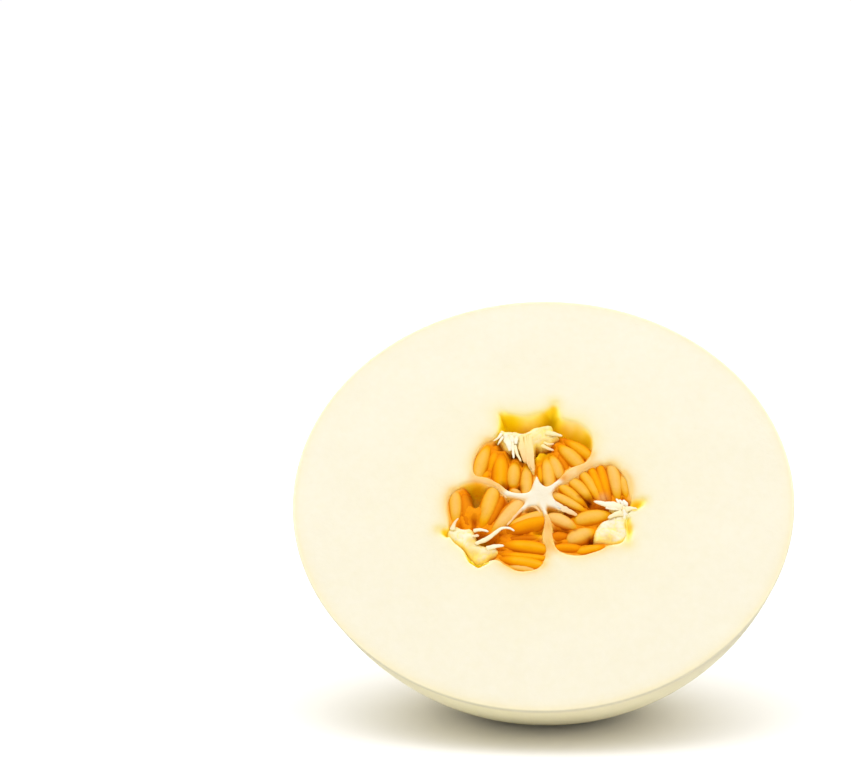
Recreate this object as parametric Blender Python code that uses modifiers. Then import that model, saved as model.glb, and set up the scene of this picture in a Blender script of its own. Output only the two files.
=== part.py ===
"""A white-skinned melon cut square across, lying on its rind with the cut face turned up and forward.

The half is built in the frame of its cut face: the origin is the middle of the round face, +X runs to the
right, +Y up the slope of the face and +Z straight out of it. An empty then tilts that frame, so that the half
lies on a small flat spot of its rind, with the middle of the world frame on that spot and +Z up.
"""

from math import asin, atan2, cos, pi, radians, sin, sqrt
from random import Random

import bmesh
import bpy
from mathutils import Matrix, Vector

MM = 0.001
MERGE_DISTANCE = 0.01 * MM
SHARP_ANGLE = radians(35)

# The melon: an ovoid about its own axis, cut square to that axis
RIM_RADIUS = 72.5 * MM
OVOID_HALF_LENGTH = 98.5 * MM
CUT_FROM_MIDDLE = 26.5 * MM
TAPER = 0.075
PROFILE_POINTS = 20
TURN_STEPS = 72

# How far the rind is out of round below the rim: wider than it is high, and fuller towards one side
OVAL_SHARE = 0.022
LEAN_SHARE = 0.019
LEAN_DIRECTION = radians(-50)

# How the half lies
FACE_TILT = radians(46.2)
FLAT_DEPTH = 2.6 * MM
FLAT_CUTTER_SIZE = 120 * MM

# The three pockets, each narrowing as it goes down into the flesh
POCKET_LEVELS = ((2.0, 1.0), (-4.0, 1.0), (-10.0, 0.93), (-16.0, 0.80), (-20.5, 0.62), (-24.0, 0.30))
BED_LEVELS = ((-2.2, 1.0), (-4.0, 1.0), (-10.0, 0.93), (-16.0, 0.79), (-20.0, 0.59))
PITH_LEVELS = ((-1.0, 0.98), (-2.4, 1.0), (-4.0, 1.0), (-10.0, 0.93), (-16.0, 0.79), (-20.0, 0.59))
LOOP_STEPS = 2

# Seeds and fibres: thickness, height of the middle, how pointed at the tip, sides and rings. A seed is pointed
# at its base instead, by the pith, so its value is negative.
SEED_FORM = (3.6, -1.3, -0.22, 10, 6)
FIBRE_FORM = (1.8, -1.0, 0.45, 6, 6)
FIBRE_WIDTH = 1.5
SEED_FULLNESS = 1.14
FIBRE_JITTER = 0.7

# Outlines on the cut face, in millimetres from its middle
POCKETS = {
    "top": {
        "middle": (-3.0, 14.0),
        "wall": (
            (2.0, 3.0), (4.7, 5.4), (7.8, 9.2), (12.8, 12.0), (14.6, 17.5), (13.6, 22.5), (10.5, 26.0),
            (5.6, 27.6), (3.6, 33.2), (0.6, 30.0), (-5.0, 28.0), (-11.0, 29.4), (-13.9, 30.6), (-14.2, 25.0),
            (-17.0, 20.8), (-20.3, 11.0), (-19.8, 6.4), (-16.3, 5.2), (-12.8, 3.2), (-9.8, 1.1), (-6.6, 0.3),
            (-3.8, 0.9), (-2.5, 4.2), (-1.7, 6.3), (-0.8, 4.4), (0.4, 3.1),
        ),
        "bed": (
            (1.8, 4.0), (4.0, 6.2), (7.2, 10.1), (11.8, 12.7), (13.2, 15.2), (5.8, 20.2), (4.3, 18.4),
            (0.4, 14.4), (-3.1, 11.2), (-6.4, 12.4), (-9.8, 14.6), (-13.8, 18.4), (-16.6, 19.2), (-19.5, 11.0),
            (-19.0, 7.2), (-15.9, 6.0), (-12.3, 4.0), (-9.2, 2.0), (-6.5, 1.2), (-4.6, 1.8), (-3.4, 5.2),
            (-1.8, 8.0), (0.0, 5.6),
        ),
        "pith": (
            (4.8, 21.6), (2.6, 24.4), (-3.0, 24.0), (-6.0, 22.4), (-12.9, 22.8), (-13.2, 19.5), (-9.2, 15.7),
            (-6.2, 13.5), (-3.2, 12.3), (-0.4, 15.5), (3.3, 19.3),
        ),
        "seeds": (
            ((-15.8, 18.0), (-18.1, 8.4), 3.6), ((-13.8, 16.4), (-15.0, 8.0), 3.2),
            ((-11.7, 15.2), (-12.3, 5.4), 4.4), ((-8.0, 12.4), (-8.4, 3.6), 4.0),
            ((-4.9, 11.0), (-4.9, 2.6), 3.4), ((-0.3, 12.6), (-0.1, 6.4), 2.4),
            ((1.0, 13.8), (2.0, 5.2), 3.6), ((3.0, 15.0), (5.2, 8.2), 3.4),
            ((4.7, 17.6), (8.6, 11.4), 3.0), ((6.2, 19.4), (11.8, 14.4), 3.4),
        ),
        "fibres": (((-11.6, 21.6), (3.0, 22.6)), ((-10.4, 17.0), (1.6, 18.2)), 8),
    },
    "left": {
        "middle": (-13.0, -11.0),
        "wall": (
            (-1.7, -4.9), (-4.2, -3.4), (-7.5, -1.5), (-11.0, -0.6), (-13.5, 2.0), (-16.5, 3.2), (-20.0, 4.0),
            (-24.2, 2.4), (-27.2, -1.8), (-27.5, -6.0), (-26.9, -10.4), (-29.8, -13.2), (-27.6, -15.6),
            (-26.0, -18.7), (-21.5, -24.6), (-17.0, -25.6), (-12.7, -24.0), (-10.0, -25.6), (-6.0, -27.0),
            (-1.2, -26.0), (1.0, -23.2), (1.6, -19.0), (0.6, -15.0), (0.9, -10.0), (-0.2, -6.4),
        ),
        "bed": (
            (-2.3, -5.8), (-4.7, -4.3), (-8.0, -2.4), (-11.6, -1.5), (-14.0, 1.1), (-16.7, 2.3), (-20.0, 3.0),
            (-23.7, 1.5), (-26.3, -2.2), (-26.6, -6.0), (-25.8, -9.6), (-24.2, -10.6), (-21.0, -12.4),
            (-16.2, -12.1), (-12.0, -14.7), (-11.6, -18.4), (-11.3, -22.6), (-9.8, -24.6), (-6.0, -26.0),
            (-1.8, -25.0), (0.1, -22.8), (0.7, -19.0), (-0.3, -15.0), (0.0, -10.0), (-1.0, -7.0),
        ),
        "pith": (
            (-12.9, -15.4), (-16.5, -13.2), (-21.0, -13.5), (-24.6, -11.8), (-26.2, -14.2), (-25.3, -17.6),
            (-22.6, -20.0), (-20.3, -23.4), (-17.0, -24.6), (-14.8, -22.9), (-12.3, -21.2), (-12.5, -18.5),
        ),
        "seeds": (
            ((-24.9, -8.6), (-25.3, -0.6), 3.0), ((-21.4, -10.8), (-22.9, 0.0), 4.0),
            ((-17.2, -10.2), (-14.2, 0.8), 4.8), ((-13.8, -11.8), (-7.4, -3.2), 4.2),
            ((-10.2, -11.6), (-1.9, -7.6), 5.2), ((-10.8, -14.6), (-1.6, -13.2), 2.8),
            ((-10.8, -17.0), (-0.2, -17.2), 3.4), ((-10.6, -19.6), (0.0, -20.6), 3.0),
            ((-10.2, -22.0), (-0.6, -23.0), 2.8), ((-8.8, -24.2), (-2.4, -24.7), 2.2),
        ),
        "fibres": (((-25.0, -14.6), (-18.4, -23.0)), ((-19.6, -14.6), (-14.0, -19.8)), 6),
    },
    "right": {
        "middle": (14.0, -5.0),
        "wall": (
            (4.5, 1.4), (4.9, 3.3), (6.8, 4.0), (10.3, 6.9), (13.7, 9.4), (19.0, 11.0), (22.8, 9.0), (24.8, 4.4),
            (26.5, -0.8), (31.2, -2.4), (30.9, -4.2), (26.2, -6.0), (25.9, -8.0), (26.5, -12.0), (24.9, -17.0),
            (19.8, -18.7), (16.4, -20.8), (11.0, -21.8), (6.0, -21.0), (3.6, -17.6), (3.0, -13.0), (2.7, -9.3),
            (1.5, -6.0), (1.6, -4.0), (3.6, -1.2),
        ),
        "bed": (
            (5.4, 1.2), (5.8, 2.6), (7.3, 3.4), (10.7, 6.0), (14.0, 8.4), (18.9, 10.0), (22.0, 8.4), (23.9, 4.2),
            (25.2, -0.6), (23.6, -1.1), (20.1, -4.4), (19.4, -7.0), (16.8, -8.0), (14.8, -12.6), (16.2, -17.4),
            (15.6, -19.8), (11.0, -20.8), (6.5, -20.0), (4.5, -17.2), (4.0, -13.0), (3.7, -9.3), (2.6, -6.2),
            (2.8, -4.5), (4.7, -1.6),
        ),
        "pith": (
            (21.6, -6.0), (22.4, -3.6), (24.4, -2.6), (27.0, -4.3), (25.2, -6.2), (24.9, -8.0), (25.5, -12.0),
            (24.1, -16.0), (19.6, -17.6), (17.0, -16.8), (15.8, -12.6), (17.8, -9.1), (20.7, -8.0),
        ),
        "seeds": (
            ((23.4, 0.4), (22.5, 7.0), 2.6), ((21.1, -1.4), (19.9, 9.2), 3.4), ((18.7, -1.2), (15.9, 8.6), 3.2),
            ((16.5, -1.4), (12.7, 7.4), 3.2), ((14.1, -1.6), (9.8, 4.9), 3.6), ((12.2, -3.2), (6.9, 2.6), 3.2),
            ((18.8, -5.4), (9.6, -7.6), 4.8), ((9.2, -9.8), (4.6, -8.2), 3.2), ((13.8, -11.8), (7.8, -14.4), 4.6),
            ((7.8, -14.6), (5.0, -13.8), 2.2), ((15.0, -17.6), (6.2, -18.0), 3.4),
        ),
        "fibres": (((24.2, -9.6), (20.4, -16.4)), ((19.6, -9.8), (17.4, -14.6)), 5),
    },
}

COLOURS = {
    "melon_half": ((0.93, 0.90, 0.74), 0.45),
    "seeds": ((0.93, 0.47, 0.08), 0.30),
    "pith": ((0.96, 0.91, 0.74), 0.55),
}


def clear_scene():
    """Removes whatever the opened file holds."""
    for item in list(bpy.data.objects):
        bpy.data.objects.remove(item, do_unlink=True)


def new_collection(name):
    collection = bpy.data.collections.new(name)
    bpy.context.scene.collection.children.link(collection)
    return collection


def add_object(name, mesh, collection, parent=None):
    item = bpy.data.objects.new(name, mesh)
    item.parent = parent
    collection.objects.link(item)
    return item


def mesh_from(name, bm):
    """Turns a bmesh into a mesh whose faces point out."""
    bmesh.ops.recalc_face_normals(bm, faces=bm.faces)
    mesh = bpy.data.meshes.new(name)
    bm.to_mesh(mesh)
    bm.free()
    return mesh


def paint(item, kind):
    """Gives an object its own plain material."""
    colour, roughness = COLOURS[kind]
    material = bpy.data.materials.new(item.name)
    material.use_nodes = True
    shader = material.node_tree.nodes["Principled BSDF"]
    shader.inputs["Base Color"].default_value = (*colour, 1.0)
    shader.inputs["Roughness"].default_value = roughness
    item.data.materials.clear()
    item.data.materials.append(material)


def hide_as_cutter(item):
    item.hide_render = True
    item.display_type = "WIRE"


def cut(item, cutter, name):
    modifier = item.modifiers.new(name, "BOOLEAN")
    modifier.operation = "DIFFERENCE"
    modifier.object = cutter
    modifier.solver = "EXACT"


def ovoid_radius(from_middle):
    """Radius of the melon at a distance from its middle, with the cut rim at its own radius."""
    def unit(distance):
        share = distance / OVOID_HALF_LENGTH
        return sqrt(max(0.0, 1.0 - share * share)) * (1.0 - TAPER * share)

    return RIM_RADIUS * unit(from_middle) / unit(CUT_FROM_MIDDLE)


def rind_profile():
    """Points (radius, height from the face) from the rim to the blossom end, closest together at the end."""
    first = asin(CUT_FROM_MIDDLE / OVOID_HALF_LENGTH)
    points = []
    for step in range(PROFILE_POINTS + 1):
        angle = first + (pi / 2 - first) * step / PROFILE_POINTS
        from_middle = OVOID_HALF_LENGTH * sin(angle)
        points.append((ovoid_radius(from_middle), CUT_FROM_MIDDLE - from_middle))
    return points


def out_of_round(point):
    """Moves a point of the turned rind in or out, most of all halfway down from the rim to the blossom end."""
    share = -point.z / (OVOID_HALF_LENGTH - CUT_FROM_MIDDLE)
    angle = atan2(point.y, point.x)
    change = OVAL_SHARE * cos(2 * angle) + LEAN_SHARE * cos(angle - LEAN_DIRECTION)
    factor = 1.0 + 4.0 * share * (1.0 - share) * change
    return Vector((point.x * factor, point.y * factor, point.z))


def face_placement(points):
    """Where the cut face's frame stands, so that the lowest of its points is over the X axis and then cut flat."""
    tilt = Matrix.Rotation(FACE_TILT, 4, "X")
    lowest = min((tilt @ point for point in points), key=lambda p: p.z)
    return Matrix.Translation((0.0, -lowest.y, -lowest.z - FLAT_DEPTH)) @ tilt


def smooth_loop(corners, steps):
    """A closed smooth line through the corners, with a few points on each stretch, in metres."""
    count = len(corners)
    loop = []
    for index in range(count):
        before, start, end, after = (Vector(corners[(index + k) % count]) for k in (-1, 0, 1, 2))
        for step in range(steps):
            t = step / steps
            bend = 2 * start + (end - before) * t
            bend += (2 * before - 5 * start + 4 * end - after) * t * t
            bend += (3 * start - before - 3 * end + after) * t * t * t
            loop.append(bend * 0.5 * MM)
    return loop


def well(name, corners, middle, levels, collection, parent):
    """A closed body whose outline keeps its form and shrinks towards a middle as it goes down."""
    loop = smooth_loop(corners, LOOP_STEPS)
    hub = Vector(middle) * MM
    bm = bmesh.new()
    rings = []
    for depth, scale in levels:
        points = [hub + (point - hub) * scale for point in loop]
        rings.append([bm.verts.new((point.x, point.y, depth * MM)) for point in points])
    for upper, lower in zip(rings, rings[1:]):
        for index in range(len(loop)):
            after = (index + 1) % len(loop)
            bm.faces.new((upper[index], upper[after], lower[after], lower[index]))
    bm.faces.new(rings[0])
    bm.faces.new(rings[-1])
    return add_object(name, mesh_from(name, bm), collection, parent)


def add_egg(name, base, tip, width, form, collection, parent):
    """A seed or a fibre: an egg lying in the face's plane, narrow at one end."""
    thickness, height, pointed, sides, rings = form
    start, end = Vector(base), Vector(tip)
    along = end - start
    bm = bmesh.new()
    upright = Matrix.Rotation(-pi / 2, 4, "X")
    bmesh.ops.create_uvsphere(bm, u_segments=sides, v_segments=rings, radius=1.0, matrix=upright)
    for vert in bm.verts:
        narrowing = 1.0 - pointed * vert.co.y
        vert.co.x *= narrowing * width / 2
        vert.co.z *= narrowing * thickness / 2
        vert.co.y *= along.length / 2
    turn = Matrix.Rotation(atan2(along.y, along.x) - pi / 2, 4, "Z")
    centre = (start + end) / 2
    bm.transform(Matrix.Scale(MM, 4) @ Matrix.Translation((centre.x, centre.y, height)) @ turn)
    return add_object(name, mesh_from(name, bm), collection, parent)


def apply_modifiers(item):
    bpy.context.view_layer.update()
    evaluated = item.evaluated_get(bpy.context.evaluated_depsgraph_get())
    finished = bpy.data.meshes.new_from_object(evaluated)
    item.modifiers.clear()
    item.data = finished


def fuse(item, repeats):
    """Joins everything in a collection to an object with one union, and removes the repeats."""
    modifier = item.modifiers.new("fuse", "BOOLEAN")
    modifier.operation = "UNION"
    modifier.operand_type = "COLLECTION"
    modifier.collection = repeats
    modifier.solver = "EXACT"
    apply_modifiers(item)
    for piece in list(repeats.objects):
        bpy.data.objects.remove(piece, do_unlink=True)
    bpy.data.collections.remove(repeats)


def turned_half(collection):
    """The half without its pockets: a profile from the middle of the face over the rim, turned round."""
    bm = bmesh.new()
    verts = [bm.verts.new((radius, 0.0, height)) for radius, height in [(0.0, 0.0)] + rind_profile()]
    for first, second in zip(verts, verts[1:]):
        bm.edges.new((first, second))
    mesh = bpy.data.meshes.new("melon_half")
    bm.to_mesh(mesh)
    bm.free()
    half = add_object("melon_half", mesh, collection)
    turn = half.modifiers.new("turn", "SCREW")
    turn.axis = "Z"
    turn.steps = TURN_STEPS
    turn.render_steps = TURN_STEPS
    turn.use_merge_vertices = True
    turn.merge_threshold = MERGE_DISTANCE
    apply_modifiers(half)
    for vert in half.data.vertices:
        vert.co = out_of_round(vert.co)
    return half


def make_half(half, cutters, face):
    """The flesh with its rind: the three pockets and the flat spot are cut into the turned body."""
    half.parent = face
    for side, pocket in POCKETS.items():
        cutter = well("pocket_" + side, pocket["wall"], pocket["middle"], POCKET_LEVELS, cutters, face)
        hide_as_cutter(cutter)
        cut(half, cutter, "pocket " + side)
    bpy.ops.mesh.primitive_cube_add(size=FLAT_CUTTER_SIZE, location=(0.0, 0.0, -FLAT_CUTTER_SIZE / 2))
    ground = bpy.context.object
    ground.name = "flat_spot_cutter"
    for collection in list(ground.users_collection):
        collection.objects.unlink(ground)
    cutters.objects.link(ground)
    hide_as_cutter(ground)
    cut(half, ground, "flat spot")
    half.data.shade_smooth()
    half.data.set_sharp_from_angle(angle=SHARP_ANGLE)
    paint(half, "melon_half")


def make_seeds(side, pocket, parts, face):
    """The orange pulp of one pocket with the seeds that lie in it."""
    bed = well("seeds_" + side, pocket["bed"], pocket["middle"], BED_LEVELS, parts, face)
    repeats = new_collection("seeds of " + side)
    for index, (base, tip, width) in enumerate(pocket["seeds"]):
        add_egg("seed_%s_%d" % (side, index), base, tip, width * SEED_FULLNESS, SEED_FORM, repeats, face)
    fuse(bed, repeats)
    paint(bed, "seeds")


def make_pith(side, pocket, parts, face):
    """The pale pad at the outer end of one pocket, with fibres along it, which the seeds hang from."""
    pad = well("pith_" + side, pocket["pith"], pocket["middle"], PITH_LEVELS, parts, face)
    outer, inner, count = pocket["fibres"]
    outer_start, outer_end, inner_start, inner_end = (Vector(point) for point in outer + inner)
    draw = Random(side)
    repeats = new_collection("fibres of " + side)
    for index in range(count):
        share = index / (count - 1)
        base = outer_start.lerp(outer_end, share)
        tip = inner_start.lerp(inner_end, share)
        tip += (tip - base) * draw.uniform(-FIBRE_JITTER, 0.0) * 0.5
        add_egg("fibre_%s_%d" % (side, index), base, tip, FIBRE_WIDTH, FIBRE_FORM, repeats, face)
    fuse(pad, repeats)
    paint(pad, "pith")


def main():
    clear_scene()
    parts = new_collection("cantaloupe")
    cutters = new_collection("cutters")
    half = turned_half(parts)
    face = bpy.data.objects.new("cut_face", None)
    parts.objects.link(face)
    face.matrix_world = face_placement([vert.co for vert in half.data.vertices])
    bpy.context.view_layer.update()
    make_half(half, cutters, face)
    for side, pocket in POCKETS.items():
        make_seeds(side, pocket, parts, face)
        make_pith(side, pocket, parts, face)
    bpy.context.view_layer.update()


main()
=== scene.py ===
"""Half of a smooth white melon, cut square across, with its three seed pockets turned up to the light.

Everything is worked out in the frame of the cut face, in millimetres: u runs to the right across the face,
v up its slope and w straight out of it. FACE carries such a point into the part's own frame, in metres.
"""

from math import cos, radians, sin

import bpy
import numpy as np
from mathutils import Matrix, Vector


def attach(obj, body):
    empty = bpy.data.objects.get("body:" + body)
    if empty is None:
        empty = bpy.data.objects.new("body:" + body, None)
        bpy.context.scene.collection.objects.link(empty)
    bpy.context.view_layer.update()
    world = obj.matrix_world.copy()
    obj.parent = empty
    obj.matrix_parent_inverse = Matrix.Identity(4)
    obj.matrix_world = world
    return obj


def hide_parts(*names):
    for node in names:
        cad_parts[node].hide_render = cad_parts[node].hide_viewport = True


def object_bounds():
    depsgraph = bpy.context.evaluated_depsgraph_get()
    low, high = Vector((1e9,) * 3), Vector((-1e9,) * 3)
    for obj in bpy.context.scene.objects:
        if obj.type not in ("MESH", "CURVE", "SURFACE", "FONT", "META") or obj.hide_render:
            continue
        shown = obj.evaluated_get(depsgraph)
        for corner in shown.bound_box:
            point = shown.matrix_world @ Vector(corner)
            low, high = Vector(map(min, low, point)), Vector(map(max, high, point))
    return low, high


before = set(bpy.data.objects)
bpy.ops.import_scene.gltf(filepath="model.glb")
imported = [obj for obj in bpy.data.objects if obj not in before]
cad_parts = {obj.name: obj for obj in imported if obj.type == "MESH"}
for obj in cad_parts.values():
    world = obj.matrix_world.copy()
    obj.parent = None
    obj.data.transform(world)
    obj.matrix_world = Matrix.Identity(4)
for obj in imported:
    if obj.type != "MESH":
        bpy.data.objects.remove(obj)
cad_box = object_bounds()

MM = 0.001

# The melon, as its solids are built: an ovoid about its own axis, cut square to that axis
RIM_RADIUS = 72.5
HALF_LENGTH = 98.5
CUT_FROM_MIDDLE = 26.5
HALF_DEPTH = HALF_LENGTH - CUT_FROM_MIDDLE
TAPER = 0.075
OVAL_SHARE = 0.022
LEAN_SHARE = 0.019
LEAN_DIRECTION = radians(-50)
FACE_TILT = radians(46.2)

# The cut face's frame, found from the highest and the foremost point of its rim
FACE_CENTRE = Vector((
    (cad_box[0].x + cad_box[1].x) / 2,
    cad_box[0].y + RIM_RADIUS * MM * cos(FACE_TILT),
    cad_box[1].z - RIM_RADIUS * MM * sin(FACE_TILT),
))
FACE = Matrix.Translation(FACE_CENTRE) @ Matrix.Rotation(FACE_TILT, 4, "X") @ Matrix.Scale(MM, 4)

# The camera, from the middle of the cut face
CAMERA_PLACE = Vector((0.0157, -0.7179, 0.1072))
CAMERA_FORWARD = Vector((-0.0683, 0.9922, -0.1045))
CAMERA_RIGHT = Vector((0.9977, 0.0687, 0.0))
CAMERA_LENS = 105.6
CAMERA_SENSOR = 36.0

# The studio, in metres and watts, with a sky that brightens between two heights
FLOOR_REACH = 60.0
FLOOR_COLOUR = (0.82, 0.805, 0.785, 1)
SOFTBOX_PLACE = (-0.15, -0.3, 1.3)
SOFTBOX_AIM = (0, 0, 0.05)
SOFTBOX_SIZE = 0.8
SOFTBOX_POWER = 1.5
SKY_HEIGHTS = (0.45, 0.95)
SKY_STRENGTHS = (1.02, 2.2)

# How finely the flesh and rind are meshed, and the outlines drawn
SECTORS = 448
POCKET_REACH = 35.0
RING_GAP = 0.34
OUTER_RINGS = (36.5, 38.5, 41, 44.5, 48.5, 53, 57.5, 62, 65.5, 68.5, 70.6, 71.6)
RIM_STEPS = 5
RIND_RINGS = 40
LOOP_STEPS = 6

# The rim's rounding, its strips with the rind's finish, and how the rind settles on the ground
RIM_ROUNDING = 0.55
RIND_ON_RIM = 2
SETTLES_BELOW = -2.0
SETTLED_EDGE = 0.6

# The pockets' walls, where their slope is wider (place, radius, how much), and the top one's pale shelf
POCKET_DEPTH = 6.5
POCKET_INSET = 0.25
WALL_SLOPE = 0.8
LIP_ROUNDING = 0.25
GENTLE_WALLS = (((9.5, 25.5), 4.6, 4.5), ((-4.6, 29.8), 4.6, 3.2))
SHELF = ((9.6, 26.4), 3.2)

# Dimples that run out from the pockets: both ends, half width and depth at each
DIMPLES = (
    ((-11.8, 28.4), (-12.4, 30.0), (1.3, 1.1), (1.4, 0.3)),
    ((2.2, 28.2), (3.4, 32.4), (2.0, 1.2), (4.4, 0.4)),
    ((26.6, -3.6), (30.2, -1.8), (1.5, 1.1), (2.4, 0.2)),
    ((-27.0, -13.9), (-29.0, -13.2), (1.4, 1.3), (2.4, 0.2)),
    ((24.8, -8.6), (25.2, -12.6), (0.8, 1.0), (1.4, 1.5)),
    ((25.2, -12.6), (24.8, -17.4), (1.0, 0.9), (1.5, 0.2)),
    ((-21.4, -20.8), (-19.8, -23.6), (0.5, 0.6), (1.2, 2.6)),
    ((-19.8, -23.6), (-17.6, -24.9), (0.6, 0.7), (2.6, 3.4)),
    ((-17.6, -24.9), (-15.0, -23.8), (0.7, 0.5), (3.4, 1.4)),
)

# Seeds: lengths in millimetres, places and shares along them or of their width
SEED_RINGS = 26
SEED_SIDES = 20
SEED_FULLNESS = 1.17  # width, against the part that shows
SEED_REACH = (0.1, 0.05)  # how much longer at the pith end and at the round end
SEED_SHOWN = (0.1, 0.85)  # where the part that shows starts, and its share
SEED_TO_WALL = 1.6  # the gap up to which the round end runs on to the wall
SEED_PAST_WALL = 1.1  # how far it then goes past the wall
SEED_WIDEST = 0.6  # where along it a seed is widest
SEED_PITH_END = (1.9, 0.8)  # powers of its outline towards the pith end
SEED_ROUND_END = (2.3, 0.5)  # and towards the round end
SEED_THICKNESS = (2.6, 0.7)  # the least, and as a share of the width
SEED_FLATNESS = 0.8  # power of the outline for the thickness
SEED_BEND = 0.035  # how far it bends aside at most
SEED_DROOP = (0.5, 0.6)  # how far the pith end and the round end droop
SEED_BUMPS = (0.07, 2.6)  # height and size of the film's bumps

# Slabs of pulp and pith: grid step, how far past their outlines they run, underside, and passes that fill in
SLAB_STEP = 0.36
PULP_MARGIN = 0.7
PAD_MARGIN = 0.6
SLAB_BOTTOM = -8.0
PINCH_PASSES = 4

# The pulp's depth: by a seed, its two falls farther off, its ripples (height, size), and by a wall
PULP_DEPTH = 1.35
PULP_FALLS = ((1.0, (0.1, 0.9)), (3.4, (0.9, 2.4)))
PULP_RIPPLES = (0.12, 1.8)
PULP_AT_WALL, PULP_BY_WALL, PULP_BY_SEED = 1.0, (1.4, 0.0), (1.8, 0.6)
PULP_SHALLOWEST = 0.3

# The pads' surface: its foot and rise, where and how steeply it rises, its waves and its creases
PAD_FOOT = -6.0
PAD_RISE = 5.7
PAD_SLOPE = (0.6, 0.4)
PAD_WAVES = (0.2, 5.0)
PAD_CREASES = (0.25, 3.2, 0.35)

# Strands and folds: level, meshing, wavers (share or height, size), arch, half height (share of the width,
# extra), and in a tuft the scatter of root, tip and middle and the widths
STRAND_LEVEL = -0.3
FOLD_LEVEL = -0.78
STRAND_STEPS = 7
STRAND_SIDES = 10
WIDTH_WAVER = (0.12, 2.0)
LEVEL_WAVER = (0.1, 3.0)
STRAND_ARCH = 0.3
STRAND_HEIGHT = (0.15, 0.1)
TUFT_SCATTER = (0.15, 0.25, 0.2)
TUFT_WIDTHS = (0.85, 1.35)
TUFT_PROFILE = (0.3, 1.0, 0.45)

# Ripples: number of waves, spread of their sizes, and what their sum is divided by
RIPPLE_WAVES = 7
RIPPLE_SPREAD = (0.6, 1.5)
RIPPLE_LEVEL = 3.4

# What a colour seen in the light is multiplied by to give the thing's own, and how much each is lifted as
# painted light where shade falls
LIGHT_SHARE = 0.675
WALL_LIFT = 1.42
PULP_LIFT = 1.2
SEED_LIFT = 1.04
PITH_LIFT = 1.08
SHADE_LIFT = 1.3
BACK_LIFT = 1.15
GROUND_LIFT = 1.36

# Colours as they look in the light, as red, green and blue out of 255
CREAM = (255, 249, 229)
CREAM_INNER = (255, 248, 222)
CREAM_RIM = (253, 244, 214)
HALO = (255, 238, 160)
PULP_HALO = (255, 210, 120)
STAR_WHITE = (254, 244, 222)
SEPTUM_TAN = (255, 203, 126)
# The rind's colour darkened as painted shade low at the front by the cut, and lightened as painted light on
# its back and sides
RIND = (229, 220, 188)
RIND_LIT = (240, 236, 212)
RIND_EDGE = (232, 224, 200)
# The rind's colour lightened as painted bounce light where it faces the ground
RIND_BOUNCE_LIGHT = (255, 246, 210)
SCAR = (176, 158, 116)
# Painted shade at the seeds' sides and underneath
SEED_SIDE_SHADE = (232, 122, 2)
INNER_WALL = (206, 134, 6)
WALL_ORANGE = (255, 190, 76)
PULP_EDGE = (255, 194, 84)
SHELF_YELLOW = (255, 216, 120)
WHITE = (255, 250, 236)
PITH_CREAM = (255, 241, 200)
# Painted shade on the pith, in its creases, its low parts and the strands' undersides
YELLOW = (255, 226, 112)
STRAW = (255, 236, 168)
PINK = (255, 214, 178)
TAN = (255, 206, 146)
PITH_ROOT = (244, 176, 20)

# Colours that change with a seed's tone, and with the depth of the walls and of the pulp; the walls' olive
# deep down and the pulp's darker orange in the gaps are painted shade
SEED_STOPS = (
    (-1.3, (206, 100, 0)), (-1.0, (222, 114, 0)), (-0.5, (238, 134, 0)), (0.0, (255, 157, 0)),
    (0.3, (255, 178, 0)), (0.6, (255, 192, 58)), (1.0, (255, 199, 104)), (1.3, (255, 204, 124)),
)
WALL_STOPS = (
    (0.0, (255, 244, 190)), (0.6, (255, 238, 140)), (1.6, (255, 228, 60)), (3.2, (255, 220, 6)),
    (4.6, (240, 194, 0)), (5.8, (206, 156, 0)), (6.5, (184, 130, 0)),
)
PULP_STOPS = (
    (1.2, (246, 150, 6)), (2.0, (234, 132, 4)), (3.0, (224, 120, 2)), (4.4, (222, 138, 2)),
    (5.6, (240, 176, 0)),
)

# Marks on the walls and the flesh: place, radius and colour, and their strength. Some wall marks are painted
# shade, darker olive, and some painted light, paler, among the walls' own yellows
WALL_SPOTS = (
    ((-4.6, 29.0), 2.6, (255, 230, 142)), ((1.8, 28.8), 2.0, (198, 162, 0)),
    ((-9.8, 27.6), 2.6, (254, 220, 0)), ((2.6, 31.6), 1.4, (250, 206, 0)),
    ((9.2, 23.2), 2.2, (242, 196, 0)), ((12.8, 20.6), 1.9, (236, 190, 0)),
    ((6.2, 24.6), 1.7, (242, 190, 0)), ((8.2, 27.4), 2.0, (255, 230, 156)),
    ((11.9, 25.6), 1.5, (255, 220, 136)), ((0.6, 30.2), 1.6, (250, 206, 6)),
    ((-18.6, 3.2), 3.0, (254, 188, 0)), ((-28.0, -13.4), 1.3, (248, 202, 0)),
    ((27.6, -3.2), 1.6, (240, 190, 0)), ((-14.0, 4.8), 1.5, (255, 218, 176)),
    ((25.2, -11.0), 1.8, (236, 184, 60)), ((25.1, -15.0), 1.6, (246, 212, 120)),
    ((-17.6, -25.0), 1.6, (250, 196, 10)),
)
FLESH_SPOTS = (
    ((2.2, -11.6), 2.2, (242, 184, 92)), ((2.6, -16.8), 2.4, (248, 198, 104)),
    ((-14.4, 4.4), 1.4, (254, 196, 112)), ((5.9, 5.4), 1.4, (238, 160, 44)),
    ((0.1, -6.4), 1.1, (238, 176, 84)), ((29.2, -2.0), 1.9, (254, 232, 146)),
    ((-29.4, -13.0), 1.9, (255, 234, 154)), ((24.8, -17.2), 2.2, (254, 234, 168)),
    ((3.0, 33.0), 2.2, (255, 238, 164)), ((27.4, -3.2), 1.3, (248, 198, 0)),
    ((25.1, -11.0), 1.3, (244, 200, 44)),
)
SPOT_SHARE = 0.85

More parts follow.
